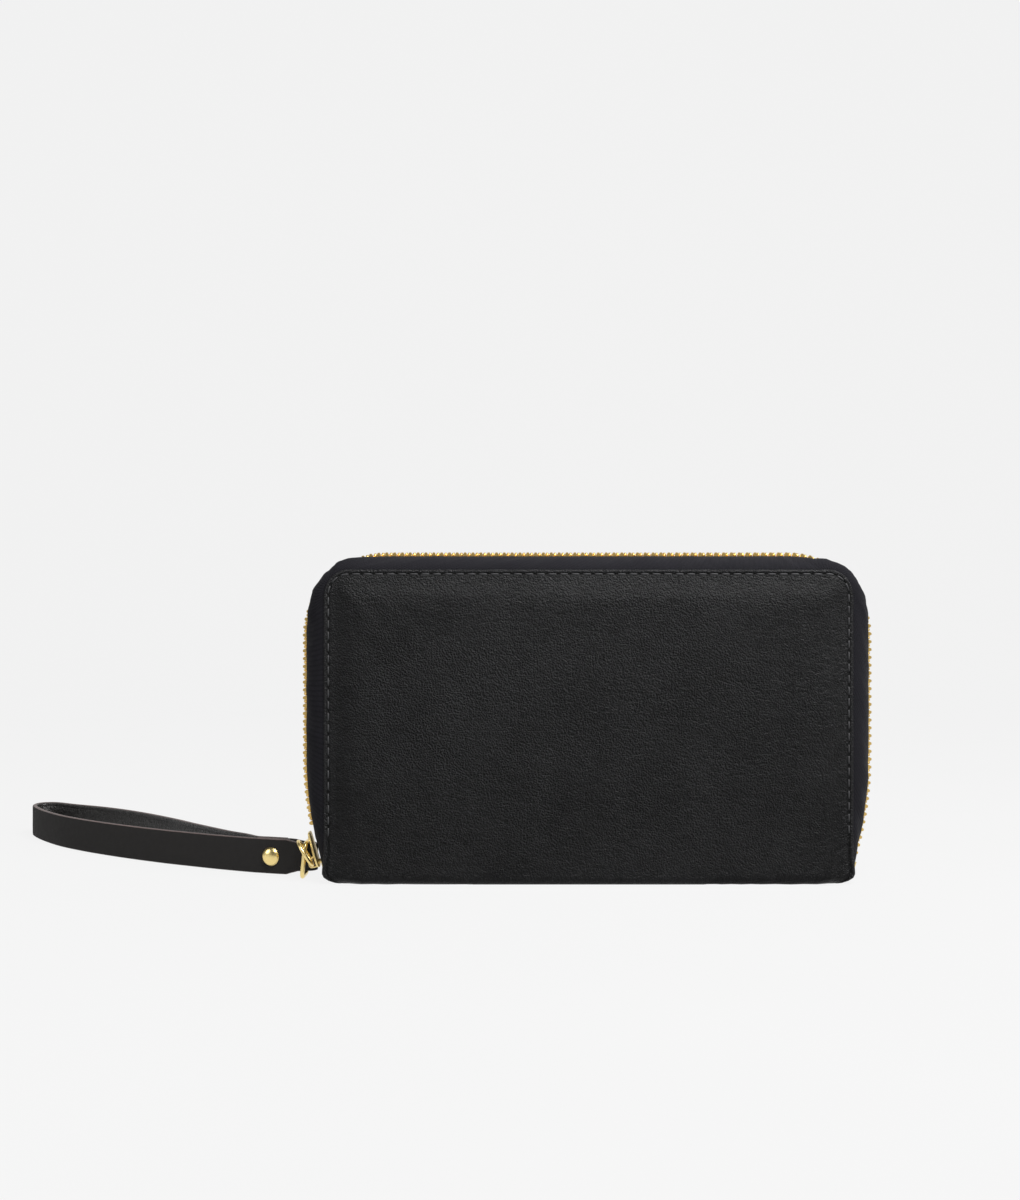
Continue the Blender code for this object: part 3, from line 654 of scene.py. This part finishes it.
def stitch_row(name, side, body):
    """One thread stitch after another in the groove round a cover."""
    line = Line(rim_line(SEAM, 16))
    parts, holes = [], []
    count = int(line.length / STITCH_PITCH)
    for i in range(count):
        middle = (i + 0.5) * STITCH_PITCH
        here, along = line.at(middle)
        if here.y < STITCHES_FROM:
            continue
        sections = []
        for t, size, dip in STITCH:
            point, _ = line.at(middle + t)
            out = crown(SEAM, point.x, point.y) + dip + 0.08
            x, y, z = lay_on_cover(point.x, point.y, out, side)
            across = Vector((-along.y, 0, along.x))
            spot = Vector((x, y, z))
            ring = []
            for k in range(8):
                a = math.tau * k / 8
                ring.append(spot + size * (math.cos(a) * across + math.sin(a) * Vector((0, 1, 0))))
            sections.append(ring)
        parts.append(tube(sections))
        spot, _ = line.at(middle + STITCH_PITCH / 2)
        x, y, z = lay_on_cover(spot.x, spot.y, crown(SEAM, spot.x, spot.y), side)
        rings = []
        for size, out in NEEDLE_HOLE:
            turns = [math.tau * k / 10 for k in range(10)]
            level = y + side * out
            rings.append([(x + size * math.cos(a), level, z + size * math.sin(a)) for a in turns])
        holes.append(tube(rings))
    verts, faces = gather(parts)
    piece(name, verts, faces, "thread", body, "black_leather")
    # The holes are small mounds whose near-black finish is painted shade for the dark inside of
    # each hole.
    verts, faces = gather(holes)
    piece(name + "_holes", verts, faces, "hole", body, "black_leather")


# ------------------------------------------------------------------ zip

PITCH = 2.76
TAPE_ROOT = 11.6
TAPE_DRAW = 10.1
CORNER_SWELL = 2.7
FIRST_TOOTH = 16.5
# One tooth: how far from the middle, and half its run and half its height there.
TOOTH_SECTIONS = (
    (2.0, 0.62, 1.2), (1.6, 0.72, 1.3), (0.75, 0.72, 1.22), (0.35, 0.46, 1.0),
    (-0.1, 0.5, 1.05), (-0.5, 0.46, 0.95), (-0.75, 0.28, 0.6),
)


def tape_half(name, side, body, node):
    """One half of the zip's tape: a bulging band from under the cover's edge to the chain."""
    rows = paired_lines(1.3, 44, 40, 90)
    verts, uvs, faces = [], [], []
    across = 14
    run = 0.0
    before = None
    for edge, chain, out in rows:
        if before is not None:
            run += (chain - before).length
        before = chain
        reach = chain - edge
        angle = math.degrees(math.atan2(out.y, abs(out.x)))
        corner = ease((chain.y - 84) / 21) * (1 - ease((angle - 58) / 31))
        for j in range(across + 1):
            share = j / across
            turn = share * math.pi / 2
            y = TAPE_ROOT - TAPE_DRAW * (1 - math.cos(turn)) ** 1.15
            swell = CORNER_SWELL * corner * math.sin(math.pi * share) ** 1.2
            pull = noise.noise(Vector((run * 0.16 - share * 1.9, share * 1.1, side * 4.0)))
            pull += 0.5 * noise.noise(Vector((run * 0.41 - share * 2.7, share * 2, side * 9.0)))
            swell += 0.6 * pull * math.sin(math.pi * share)
            spot = edge + reach * math.sin(turn) * 0.985 + out * swell
            verts.append((spot.x, side * y, spot.y))
            uvs.append((run, share * 16))
    width = across + 1
    for i in range(len(rows) - 1):
        for j in range(across):
            a = i * width + j
            faces.append((a, a + 1, a + width + 1, a + width))
    made = piece(name, verts, faces, "tape", body, "zip_tape", (node,), uvs=uvs)


def chain_path():
    """The line the teeth stand on, in (x, z)."""
    return Line([Vector(row[1]) for row in paired_lines(0, 60, 60, 60)])


def tooth_at(here, along, out, side):
    """One tooth: a clamp on the tape's cord and a rounded nose that passes the middle."""
    stations = []
    for y, half_run, half_up in TOOTH_SECTIONS:
        ring = []
        for k in range(8):
            a = math.tau * (k + 0.5) / 8
            u = half_run * max(min(math.cos(a) * 1.25, 1), -1)
            v = half_up * max(min(math.sin(a) * 1.2, 1), -1)
            point = here + along * u + out * v
            ring.append((point.x, side * y, point.y))
        stations.append(ring)
    return tube(stations)


def teeth_row(name, side, body, node):
    """One row of teeth. The back row is half a pitch along from the front one."""
    line = chain_path()
    run = FIRST_TOOTH + (PITCH / 2 if side > 0 else 0)
    parts = []
    while run < line.length - 4:
        here, along = line.at(run)
        out = Vector((-along.y, along.x))
        parts.append(tooth_at(here, along, out, side))
        run += PITCH
    verts, faces = gather(parts)
    piece(name, verts, faces, "teeth", body, "gold_brass", (node,))


# ------------------------------------------------------------------ strap and fittings

STRAP_TURN = math.radians(160)
ALONG = Vector((math.cos(STRAP_TURN), math.sin(STRAP_TURN)))
AWAY = Vector((ALONG.y, -ALONG.x))
FOLD = Vector((-98.9, 7.0))
STRAP_MIDDLE = 6.35
RIVET_RUN = 14
RING_EYE = Vector((-97.079, 0, 5.452))
RING_RADIUS = 4.83
RING_WIRE = 0.6
D_WIRE = 0.75
D_DEEP = 10.25
D_HALF_TALL = 5.95
D_MIDDLE = 6.8
SLIDER_HEIGHT = 10.8
SLIDER_HALF_TALL = 6.5
BAIL_WIRE = 0.29
LOOP_ROUTE = (
    (-131, 18), (-144, 25.6), (-159.2, 34.8), (-175.5, 46.4), (-191.5, 59.4), (-204.5, 72.2),
    (-214, 84.6), (-221.5, 96.4), (-226.4, 106.8), (-226, 113.8), (-219.8, 115.4), (-209.5, 108.6),
    (-197.5, 101.3), (-186.9, 92.9), (-177, 83.6), (-168, 74.3), (-158.3, 63), (-149, 51),
    (-139.8, 40), (-131.3, 30), (-123.8, 22.6),
)


def smooth_curve(points, spacing):
    """Points a set distance apart on a smooth curve through the route's own points."""
    dense = [points[0]]
    for i in range(len(points) - 1):
        before, after = points[max(i - 1, 0)], points[min(i + 2, len(points) - 1)]
        start, end = points[i], points[i + 1]
        steps = max(2, round((end - start).length / spacing))
        for k in range(1, steps + 1):
            t = k / steps
            bent = 2 * start + (end - before) * t
            bent += (2 * before - 5 * start + 4 * end - after) * t**2
            bent += (3 * start - before - 3 * end + after) * t**3
            dense.append(bent / 2)
    return dense


def strap_path():
    """The strip from its tail, round the ring's bar, out round the wrist loop and back."""

    def at(run, offset):
        return FOLD + ALONG * run + AWAY * offset

    tail_runs = (21, 18, 15, 12, 10, 8, 6, 4, 2, 1)
    tail = [at(run, 2.2 * (1 - ease((run - 1) / 11))) for run in tail_runs]
    turns = [math.radians(turn) for turn in range(80, -91, -10)]
    fold = [at(-2.2 * math.cos(turn), 2.2 * math.sin(turn)) for turn in turns]
    near = [at(run, -2.1) for run in (4, 8, 12, 15, 18)]
    route = [at(21, -2.1)] + [Vector(point) for point in LOOP_ROUTE] + [at(22, 2.1), at(18, 2.1)]
    return tail + fold + near + smooth_curve(route, 1.8) + [at(run, 2.1) for run in (15, 12, 10)]


def strap_strip():
    """The wrist strap: smooth outside, dressed edges, sueded inside, a crease near each edge."""
    path = strap_path()
    stations, length = [], 0.0
    across = [(-6.25, 0.34), (-6.1, 0.72), (-5.7, 0.9), (-5.0, 0.86), (-4.75, 0.72), (-4.5, 0.87)]
    across += [(-2.2, 0.93), (0, 0.95)]
    across += [(-u, v) for u, v in across[-2::-1]]
    section = across + [(6.25, -0.3), (6.0, -0.8), (5.5, -0.88), (2, -0.9)]
    section += [(-2, -0.9), (-5.5, -0.88), (-6.0, -0.8), (-6.25, -0.3)]
    wear = []
    for i, point in enumerate(path):
        ahead, behind = path[min(i + 1, len(path) - 1)], path[max(i - 1, 0)]
        heading = (ahead - behind).normalized()
        normal = Vector((-heading.y, heading.x))
        length += (point - path[i - 1]).length if i else 0
        run = (point - FOLD).dot(ALONG)
        narrow = 1 - 0.216 * (1 - ease((run - 2) / 6))
        lift = 0.45 * (1 - ease((run - 2) / 8))
        wander = 0.12 * noise.noise(Vector((length * 0.03, 1.7, 0))) * ease((run - 24) / 20)
        ring = []
        for u, v in section:
            ripple = 0.05 * noise.noise(Vector((length * 0.12, u * 0.3, v)))
            spot = point - normal * (v + ripple) * 0.98
            ring.append((spot.x, spot.y, STRAP_MIDDLE + u * narrow + lift + wander + 0.02))
            # A painted highlight on the outside face along each edge.
            wear.append(0.75 if 5.5 < abs(u) < 6.2 and v > 0 else 0.0)
        stations.append(ring)
    verts, faces = tube(stations)
    kinds = []
    top = len(across) - 1
    size = len(section)
    for face in faces[:-2]:
        k = face[0] % size
        kinds.append(0 if 1 <= k < top - 1 else (2 if top + 1 < k < size - 2 else 1))
    kinds += [1, 1]
    finishes = ["strap", "edge", "flesh"]
    node = ("wrist_strap",)
    piece("strap_strip", verts, faces, finishes, "strap", "strap_leather", node, None, kinds, wear)


def lathe(hub, axis, profile, sides=40):
    """A turned part: a profile of (run, radius) spun round an axis."""
    across = axis.orthogonal().normalized()
    up = axis.cross(across).normalized()
    stations = []
    for run, radius in profile:
        turns = [math.tau * k / sides for k in range(sides)]
        middle = hub + axis * run
        ring = [middle + radius * (math.cos(a) * across + math.sin(a) * up) for a in turns]
        stations.append(ring)
    return tube(stations)


def fittings():
    """The rivet's two heads, the jump ring and the D-ring."""
    hub = Vector((*(FOLD + ALONG * RIVET_RUN), STRAP_MIDDLE))
    axis = Vector((*AWAY, 0))
    dome = []
    for a in np.linspace(0.0, 1.45, 10):
        dome.append((-3.2 - 1.35 * math.cos(a), 0.12 + 3.1 * math.sin(a)))
    dome += [(-3.24, 3.32), (-3.05, 3.3), (-2.95, 1.4), (2.5, 1.4)]
    piece("rivet_head", *lathe(hub, axis, dome), "gold", "strap", "gold_brass", ("rivet_cap",))
    base = [(2.9, 1.3), (2.95, 3.0), (3.2, 3.05), (3.5, 2.8), (3.75, 2.0), (3.6, 1.3), (3.55, 0.2)]
    piece("rivet_back", *lathe(hub, axis, base), "gold", "strap", "gold_brass", ("rivet_base",))
    major = Vector((0.444, 0.427, -0.788)).normalized()
    minor = Vector((0.279, -0.901, -0.331)).normalized()
    turns = [math.tau * k / 72 for k in range(72)]
    centre = RING_EYE - RING_RADIUS * major
    ring = [centre + RING_RADIUS * (math.cos(a) * major + math.sin(a) * minor) for a in turns]
    piece("round_ring", *wire(ring, RING_WIRE), "gold", "jump_ring", "gold_brass", ("jump_ring",))
    reach = Vector((-0.03, -1.0, 0)).normalized()
    rise = Vector((0.105, 0, 1)).normalized()
    outline = []
    for right, upper, start in ((1, -1, -90), (1, 1, 0), (-1, 1, 90), (-1, -1, 180)):
        radius = 2.2 if right > 0 else 1.2
        depth = D_DEEP - radius if right > 0 else radius
        middle = Vector((depth, upper * (D_HALF_TALL - radius)))
        outline += arc(middle, radius, start, start + 90, 10)
    bar = FOLD + ALONG * 0.6
    bow = [Vector((bar.x, bar.y, D_MIDDLE)) + reach * p.x + rise * p.y for p in outline]
    piece("d_ring_wire", *wire(bow, D_WIRE), "gold", "d_ring", "gold_brass", ("d_ring",))


def zip_slider():
    """The slider: two rounded plates on a post, and the bail that the round ring hangs on."""
    x, slope = chain_side(SLIDER_HEIGHT)
    outward = Vector((-math.cos(slope), 0, -math.sin(slope)))
    up = Vector((-math.sin(slope), 0, math.cos(slope)))
    heart = Vector((-x, 0, SLIDER_HEIGHT))

    def at(n, y, t):
        return heart + outward * n + Vector((0, y, 0)) + up * t

    half = [(0, -1), (2.4, -0.95), (4.1, -0.77), (4.5, -0.43), (4.1, 0)]
    half += [(3.4, 0.5), (3.1, 0.83), (2.4, 1)]
    rim = [Vector(p) for p in half] + [Vector((-y, t)) for y, t in half[:0:-1]]
    rim = smooth_curve(rim + [rim[0]], 0.6)[:-1]
    parts = []
    outer = ((1.5, 0.94), (1.62, 0.99), (2.1, 0.99), (2.33, 0.94), (2.45, 0.84), (2.52, 0.5))
    inner = ((-1.5, 0.94), (-1.62, 0.99), (-2.1, 0.99), (-2.33, 0.94), (-2.42, 0.84))
    for levels in (outer, inner):
        rings = []
        for n, size in levels:
            rings.append([at(n, p.x * size, p.y * SLIDER_HALF_TALL * size) for p in rim])
        parts.append(tube(rings))
    turns = np.linspace(0, math.tau, 12, False)
    post = [(0.7 * math.cos(a), -4.5 + 0.9 * math.sin(a)) for a in turns]
    parts.append(tube([[at(n, y, t) for y, t in post] for n in (-1.9, 1.9)]))
    bail = [(2.3, -5.95), (3.6, -5.98), (4.6, -5.85), (5.0, -5.4), (5.04, -4.6), (4.98, -3.9)]
    bail += [(4.6, -3.3), (3.6, -2.75), (2.3, -2.3)]
    line = smooth_curve([Vector(p) for p in bail], 0.3)
    parts.append(wire([at(p.x, 0, p.y) for p in line], BAIL_WIRE, 12, False))
    piece("zip_slider", *gather(parts), "bright", "slider", "gold_brass", ("slider_body",))


# ------------------------------------------------------------------ inside

THIN_RIM = 0.45
POCKET_PITCH = 3
GUSSET_FOOT = 5
GUSSET_TALL = 81
PLEAT = 0.7


def soft_panel(name, node, finish, body, slot, hem=0.0, waves=0.06, seam=False):
    """An inside panel in place of a node: thin rim, gentle waves, and a stitched line if asked."""
    low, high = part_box(node)
    low, high = [c * PER_METRE for c in low], [c * PER_METRE for c in high]
    wide, tall = high[0] - low[0], high[2] - low[2]
    middle = (low[1] + high[1]) / 2
    half = (high[1] - low[1]) / 2
    nx, nz = max(12, int(wide / 3)), max(8, int(tall / 3))
    verts, faces = [], []
    for face in (-1, 1):
        for j in range(nz + 1):
            for i in range(nx + 1):
                x, z = low[0] + wide * i / nx, low[2] + tall * j / nz
                rim = min(i, nx - i, j, nz - j)
                wave = waves * noise.noise(Vector((x * 0.05, z * 0.06, middle))) * min(rim, 3) / 3
                thick = half * (THIN_RIM if rim == 0 else 1.0)
                thick += hem if j >= nz - 2 and rim > 0 else 0
                verts.append((x, middle + face * thick + wave, z))
    count = (nx + 1) * (nz + 1)
    for side in (0, 1):
        for j in range(nz):
            for i in range(nx):
                a = side * count + j * (nx + 1) + i
                faces.append((a, a + 1, a + nx + 2, a + nx + 1))
    rim = list(range(nx + 1)) + [j * (nx + 1) + nx for j in range(1, nz + 1)]
    rim += [nz * (nx + 1) + i for i in range(nx - 1, -1, -1)]
    rim += [j * (nx + 1) for j in range(nz - 1, 0, -1)]
    for k in range(len(rim)):
        a, b = rim[k], rim[(k + 1) % len(rim)]
        faces.append((a, b, b + count, a + count))
    made = piece(name, verts, faces, finish, body, slot, (node,))
    if seam:
        parts = []
        out = -half - 0.03 if middle > 0 else half + 0.03
        for i in range(int((wide - 2 * POCKET_PITCH) / POCKET_PITCH)):
            x, z = low[0] + 3.6 + POCKET_PITCH * i, high[2] - 2.2
            path = [Vector((x - 1.1, middle + out * 0.75, z)), Vector((x - 0.7, middle + out, z))]
            path += [Vector((x + 0.7, middle + out, z)), Vector((x + 1.1, middle + out * 0.75, z))]
            parts.append(wire(path, 0.17, 6, False))
        piece(name + "_stitching", *gather(parts), "thread", body, slot)
    return made


def gusset_fan(node, side, end, wall):
    """A pleated side gusset with soft folds."""
    points = [Vector((71, 0))]
    for leaf in range(3):
        turn_x, sweep = (85, 180) if leaf % 2 == 0 else (73.4, -180)
        points += arc(Vector((turn_x, (leaf + 0.5) * 1.4)), PLEAT, -90, -90 + sweep, 8)
    points.append(Vector((78, 4.2)))
    placed = [Vector((end * p.x, wall + side * p.y)) for p in points]
    stations = []
    rows = 26
    for j in range(rows + 1):
        z = GUSSET_FOOT + GUSSET_TALL * j / rows
        ring = []
        for flip in (1, -1):
            for i, point in enumerate(placed[::flip]):
                k = i if flip > 0 else len(placed) - 1 - i
                ahead = placed[min(k + 1, len(placed) - 1)]
                behind = placed[max(k - 1, 0)]
                heading = (ahead - behind).normalized()
                normal = Vector((-heading.y, heading.x))
                wave = 0.05 * noise.noise(Vector((point.x * 0.1, z * 0.08, wall)))
                spot = point + normal * (flip * 0.23 + wave)
                ring.append((spot.x, spot.y, z))
        stations.append(ring)
    made = piece("pleats_" + node, *tube(stations), "lining", "spine", "lining_cloth", (node,))


def inside():
    """Linings, padding, pockets and gussets."""
    for tag in ("front", "back"):
        body = tag + "_cover"
        made = soft_panel(tag + "_lining_cloth", tag + "_lining", "lining", body, "lining_cloth")
        pad = soft_panel(tag + "_padding", tag + "_foam", "foam", body, "foam", waves=0.02)
    finish = ("lining", "spine", "lining_cloth")
    made = soft_panel("spine_lining_cloth", "spine_lining", *finish, waves=0.0)
    finish = ("pocket", "front_cover", "lining_leather")
    soft_panel("slip_pocket", "front_slip_pocket", *finish, 0.08, seam=True)
    finish = ("pocket", "back_cover", "lining_leather")
    for column in ("left", "right"):
        for level in (1, 2, 3):
            node = f"card_slot_{column}_{level}"
            name = f"card_pocket_{column}_{level}"
            soft_panel(name, node, *finish, 0.05, 0.03, seam=True)
    finish = ("pocket", "spine", "lining_leather")
    for wall in ("front", "back"):
        soft_panel("coin_wall_" + wall, "coin_pocket_" + wall, *finish, 0.05, 0.04)
        node = "coin_zip_tape_" + wall
        made = soft_panel("coin_band_" + wall, node, "lining", "spine", "zip_tape", 0, 0.02)
    for tag, side, wall in (("front", -1, -2.9), ("back", 1, 1.6)):
        for ending, end in (("left", -1), ("right", 1)):
            gusset_fan(f"gusset_{tag}_{ending}", side, end, wall)


# ------------------------------------------------------------------ camera, light and paper


LENS = 48.65
SENSOR = 36.0
CAMERA_PLACE = (-0.0272, -0.573, 0.0984)
# Each softbox: its place, what it points at, its size in metres and its power in watts.
SOFTBOXES = {
    "top_softbox": ((0.26, -0.34, 0.8), (0.04, 0, 0.09), (0.5, 0.25), 17.0),
    "key_softbox": ((0.42, -0.62, 0.66), (0.05, 0, 0.09), (0.26, 0.18), 0.9),
    "right_softbox": ((0.8, -0.45, 0.5), (0.04, 0, 0.06), (0.35, 0.5), 3.4),
    "left_softbox": ((-0.85, -0.4, 0.4), (-0.08, 0, 0.04), (0.35, 0.5), 2.6),
}
ROOM_GREY = 0.5
ROOM_LIGHT = 0.2


def set_camera():
    """A level camera in front of the wallet and a little to its left."""
    data = bpy.data.cameras.new("camera")
    data.lens = LENS
    data.sensor_width = SENSOR
    made = bpy.data.objects.new("camera", data)
    bpy.context.scene.collection.objects.link(made)
    made.location = CAMERA_PLACE
    made.rotation_euler = (math.radians(90), 0, 0)
    bpy.context.scene.camera = made


def soft_light(name, place, target, size, power):
    """A rectangular softbox turned towards its target."""
    data = bpy.data.lights.new(name, "AREA")
    data.shape = "RECTANGLE"
    data.size, data.size_y = size
    data.energy = power
    made = bpy.data.objects.new(name, data)
    bpy.context.scene.collection.objects.link(made)
    made.location = place
    made.rotation_euler = (Vector(target) - Vector(place)).to_track_quat("-Z", "Y").to_euler()


def set_stage():
    """A paper sweep, four softboxes and a dim room."""
    sweep = [(-1.6, 0.0), (0.8, 0.0)]
    sweep += [(p.x, p.y) for p in arc(Vector((0.8, 0.6)), 0.6, -90, 0, 16)]
    sweep.append((1.4, 2.2))
    verts, faces = [], []
    for y, z in sweep:
        verts += [(-2.5, y, z), (2.5, y, z)]
    for i in range(len(sweep) - 1):
        faces.append((2 * i, 2 * i + 1, 2 * i + 3, 2 * i + 2))
    mesh = bpy.data.meshes.new("paper_sweep")
    mesh.from_pydata(verts, [], faces)
    mesh.materials.append(studio_paper())
    mesh.shade_smooth()
    paper = bpy.data.objects.new("paper_sweep", mesh)
    bpy.context.scene.collection.objects.link(paper)
    for name, settings in SOFTBOXES.items():
        soft_light(name, *settings)
    world = bpy.data.worlds.new("room")
    world.use_nodes = True
    room = world.node_tree.nodes["Background"]
    room.inputs["Color"].default_value = (ROOM_GREY, ROOM_GREY, ROOM_GREY, 1)
    room.inputs["Strength"].default_value = ROOM_LIGHT
    bpy.context.scene.world = world
    bpy.context.scene.view_settings.view_transform = "Standard"


set_camera()
set_stage()

NODE_FINISH = {
    "black_leather": "panel",
    "strap_leather": "strap",
    "lining_leather": "pocket",
    "lining_cloth": "lining",
    "zip_tape": "lining",
    "gold_brass": "gold",
    "foam": "foam",
    "fibre_board": "board",
}
for entry in frame["record"]["subparts"]:
    node = frame["nodes"][entry["node"]]
    node.data.materials.clear()
    node.data.materials.append(FINISH[NODE_FINISH[entry["material_slot"]]])

for side, tag in ((-1, "front"), (1, "back")):
    cover = tag + "_cover"
    swapped = (tag + "_leather",) + (("spine_leather",) if side < 0 else ())
    cover_skin(tag + "_wrap", side, swapped)
    stitch_row(tag + "_stitching", side, cover)
    tape_half(tag + "_tape_band", side, cover, tag + "_zip_tape")
    teeth_row(tag + "_chain_teeth", side, cover, tag + "_zip_teeth")

strap_strip()
fittings()
zip_slider()
inside()
